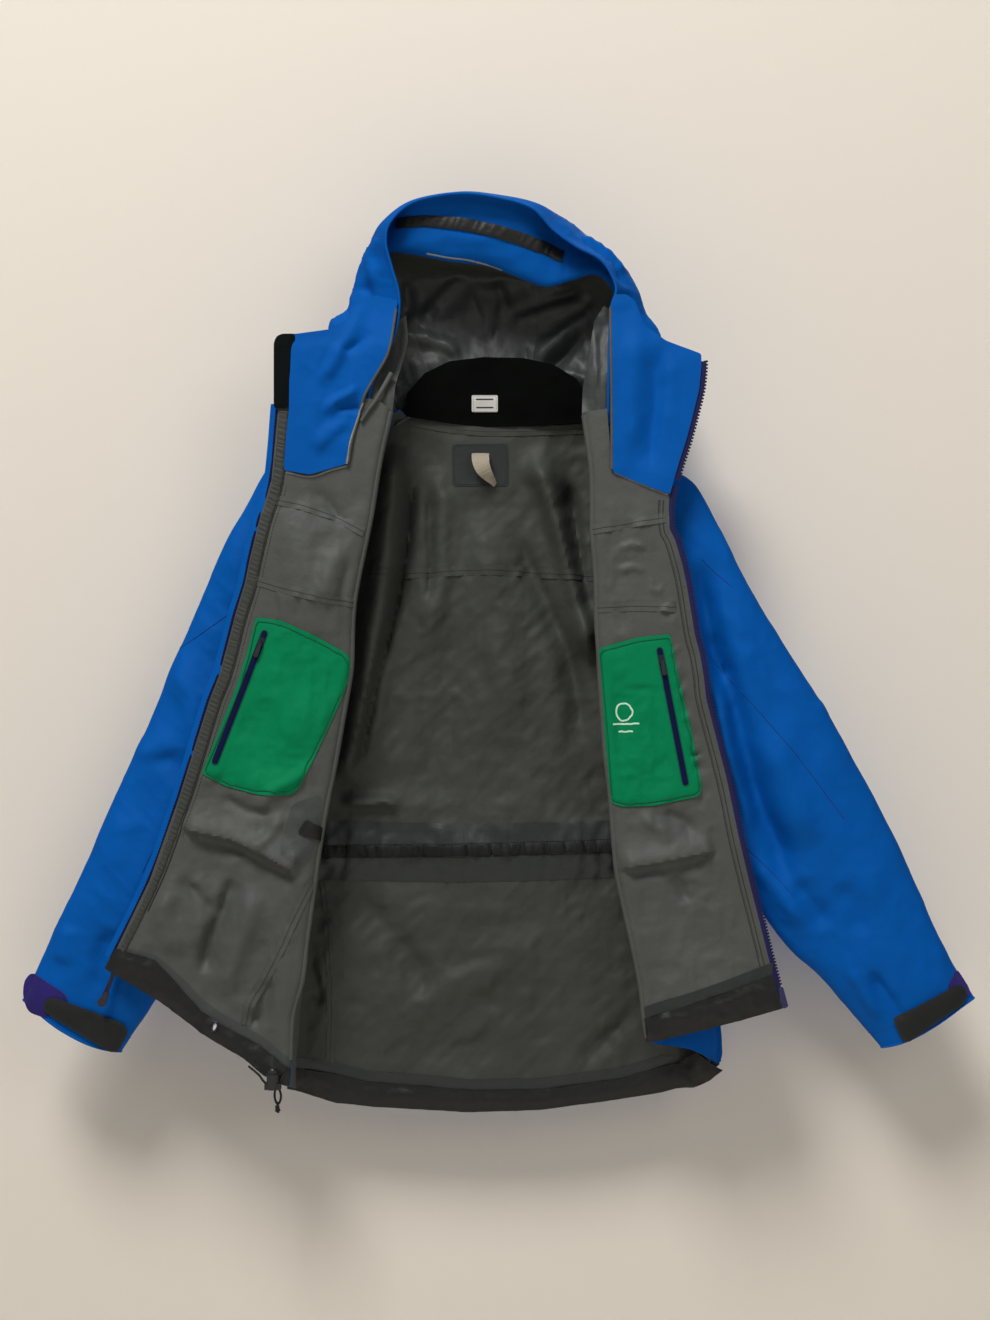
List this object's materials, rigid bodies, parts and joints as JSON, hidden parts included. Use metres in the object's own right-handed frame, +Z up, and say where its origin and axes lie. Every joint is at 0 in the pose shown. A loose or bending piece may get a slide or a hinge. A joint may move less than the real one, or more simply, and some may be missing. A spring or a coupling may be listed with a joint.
{
  "type": "hardshell jacket",
  "caption": "Hooded waterproof shell jacket hanging open, with fronts, hood, sleeves, cuff tabs, zips and cord locks that move.",
  "frame": {"origin": "centre of the hang loop's bore, at the centre back of the neck", "axes": "+Z up; -Y towards the open front; +X towards the wearer's left, along the hang loop's bore"},
  "size_m": [1.083, 0.144, 1.0539],
  "materials": {
    "shell_blue": "matt woven face fabric",
    "lining_grey": "matt knitted backer",
    "hem_black": "matt woven",
    "fleece_black": "brushed",
    "pocket_green": "matt woven",
    "zip_purple": "moulded teeth",
    "zip_tape": "coated tape",
    "slider_dark": "satin",
    "pull_dark": "moulded",
    "lock_black": "moulded",
    "loop_beige": "ribbed twill tape",
    "label_white": "smooth",
    "grip_purple": "loop pile",
    "tab_black": "moulded, fine ribs"
  },
  "bodies": {
    "torso": {"back_yoke": "shell_blue", "back_panel": "shell_blue", "back_lower_panel": "shell_blue", "back_hem_facing": "hem_black", "right_side_panel": "shell_blue", "left_side_panel": "shell_blue", "right_shoulder_panel": "shell_blue", "left_shoulder_panel": "shell_blue", "nape_lining": "hem_black", "neck_label": "label_white", "hang_loop_patch": "hem_black", "hang_loop": "loop_beige", "waist_drawcord_channel": "hem_black", "left_hem_cord_lock": "lock_black"},
    "left_hem_button": {"left_hem_lock_button": "lock_black"},
    "right_front": {"right_front_panel": "lining_grey", "right_front_hem_facing": "hem_black", "right_storm_flap": "lining_grey", "right_zip_tape": "zip_tape", "right_zip_teeth": "zip_purple", "zip_retainer_box": "zip_purple", "right_inner_pocket": "pocket_green", "right_pocket_zip": "zip_tape", "right_chest_zip": "shell_blue", "right_hem_cord_lock": "lock_black"},
    "right_hem_button": {"right_hem_lock_button": "lock_black"},
    "main_slider": {"main_zip_slider": "slider_dark"},
    "main_pull": {"main_zip_pull": "pull_dark"},
    "right_pocket_slider": {"right_pocket_slider": "slider_dark"},
    "right_pocket_pull": {"right_pocket_pull": "pull_dark"},
    "right_chest_slider": {"right_chest_slider": "slider_dark"},
    "right_collar": {"right_collar": "shell_blue", "right_chin_guard": "fleece_black"},
    "left_front": {"left_front_panel": "lining_grey", "left_front_hem_facing": "hem_black", "left_zip_tape": "zip_tape", "left_zip_teeth": "zip_purple", "insertion_pin": "zip_purple", "left_inner_pocket": "pocket_green", "left_pocket_zip": "zip_tape", "left_chest_zip": "shell_blue"},
    "left_pocket_slider": {"left_pocket_slider": "slider_dark"},
    "left_pocket_pull": {"left_pocket_pull": "pull_dark"},
    "left_chest_slider": {"left_chest_slider": "slider_dark"},
    "left_collar": {"left_collar": "shell_blue", "left_collar_zip": "zip_purple"},
    "right_sleeve": {"right_upper_sleeve": "shell_blue"},
    "right_forearm": {"right_forearm_sleeve": "shell_blue", "right_cuff_patch": "grip_purple"},
    "right_cuff_tab": {"right_cuff_tab": "tab_black"},
    "left_sleeve": {"left_upper_sleeve": "shell_blue"},
    "left_forearm": {"left_forearm_sleeve": "shell_blue", "left_cuff_patch": "grip_purple"},
    "left_cuff_tab": {"left_cuff_tab": "tab_black"},
    "hood": {"hood_crown": "shell_blue", "right_hood_side": "shell_blue", "left_hood_side": "shell_blue", "hood_brim": "shell_blue", "hood_cord_lock": "lock_black"},
    "hood_button": {"hood_lock_button": "lock_black"}
  },
  "joints": [
    {"name": "right_front_open", "type": "hinge", "parent": "torso", "child": "right_front", "pos_m": [-0.1577, -0.062, -0.3], "axis": [0.1517, 0, 0.9884], "range_deg": [0, 165]},
    {"name": "right_collar_roll", "type": "hinge", "parent": "right_front", "child": "right_collar", "pos_m": [-0.1577, -0.062, -0.3], "axis": [0.1517, 0, 0.9884], "range_deg": [-33, 0]},
    {"name": "left_front_open", "type": "hinge", "parent": "torso", "child": "left_front", "pos_m": [0.142, -0.062, -0.3], "axis": [0.0965, 0, -0.9953], "range_deg": [0, 165]},
    {"name": "left_collar_roll", "type": "hinge", "parent": "left_front", "child": "left_collar", "pos_m": [0.142, -0.062, -0.3], "axis": [0.0965, 0, -0.9953], "range_deg": [-33, 0]},
    {"name": "hood_fold", "type": "hinge", "parent": "torso", "child": "hood", "pos_m": [0.006, 0.034, 0.128], "axis": [-1, 0, 0], "range_deg": [0, 115]},
    {"name": "right_shoulder_raise", "type": "hinge", "parent": "torso", "child": "right_sleeve", "pos_m": [-0.252, -0.02, -0.012], "axis": [0, 1, 0], "range_deg": [0, 70]},
    {"name": "right_elbow_bend", "type": "hinge", "parent": "right_sleeve", "child": "right_forearm", "pos_m": [-0.246, -0.02, -0.394], "axis": [0, -1, 0], "range_deg": [0, 28]},
    {"name": "left_shoulder_raise", "type": "hinge", "parent": "torso", "child": "left_sleeve", "pos_m": [0.246, -0.02, -0.026], "axis": [0, -1, 0], "range_deg": [0, 70]},
    {"name": "left_elbow_bend", "type": "hinge", "parent": "left_sleeve", "child": "left_forearm", "pos_m": [0.258, -0.02, -0.394], "axis": [0, 1, 0], "range_deg": [0, 28]},
    {"name": "right_cuff_tab_peel", "type": "hinge", "parent": "right_forearm", "child": "right_cuff_tab", "pos_m": [-0.4125, -0.0452, -0.6515], "axis": [0.4027, 0, 0.9153], "range_deg": [0, 120]},
    {"name": "left_cuff_tab_peel", "type": "hinge", "parent": "left_forearm", "child": "left_cuff_tab", "pos_m": [0.474, -0.0452, -0.637], "axis": [0.5241, 0, -0.8517], "range_deg": [0, 120]},
    {"name": "main_zip_slide", "type": "slide", "parent": "right_front", "child": "main_slider", "axis": [0.2991, 0, 0.9542], "range_m": [0, 0.535]},
    {"name": "main_pull_swing", "type": "hinge", "parent": "main_slider", "child": "main_pull", "pos_m": [-0.40686, -0.0514, -0.54698], "axis": [0, 1, 0], "range_deg": [-45, 45]},
    {"name": "right_pocket_zip_slide", "type": "slide", "parent": "right_front", "child": "right_pocket_slider", "axis": [-0.3599, 0, -0.933], "range_m": [0, 0.134]},
    {"name": "right_pocket_pull_swing", "type": "hinge", "parent": "right_pocket_slider", "child": "right_pocket_pull", "pos_m": [-0.24824, -0.0729, -0.2034], "axis": [0, 1, 0], "range_deg": [-40, 40]},
    {"name": "left_pocket_zip_slide", "type": "slide", "parent": "left_front", "child": "left_pocket_slider", "axis": [0.1909, 0, -0.9816], "range_m": [0, 0.131]},
    {"name": "left_pocket_pull_swing", "type": "hinge", "parent": "left_pocket_slider", "child": "left_pocket_pull", "pos_m": [0.19872, -0.0729, -0.22284], "axis": [0, 1, 0], "range_deg": [-40, 40]},
    {"name": "right_chest_zip_slide", "type": "slide", "parent": "right_front", "child": "right_chest_slider", "axis": [-0.158, 0, -0.9874], "range_m": [0, 0.134]},
    {"name": "left_chest_zip_slide", "type": "slide", "parent": "left_front", "child": "left_chest_slider", "axis": [0.1322, 0, -0.9912], "range_m": [0, 0.134]},
    {"name": "right_hem_button_press", "type": "slide", "parent": "right_front", "child": "right_hem_button", "axis": [0, 0, -1], "range_m": [0, 0.005], "stiffness_N_per_m": 40},
    {"name": "left_hem_button_press", "type": "slide", "parent": "torso", "child": "left_hem_button", "axis": [0, 0, -1], "range_m": [0, 0.005], "stiffness_N_per_m": 40},
    {"name": "hood_button_press", "type": "slide", "parent": "hood", "child": "hood_button", "axis": [0, 0, -1], "range_m": [0, 0.005], "stiffness_N_per_m": 40}
  ],
  "couplings": [
    {"joint": "right_collar_roll", "follows": "right_front_open", "ratio": -0.2},
    {"joint": "left_collar_roll", "follows": "left_front_open", "ratio": -0.2}
  ]
}
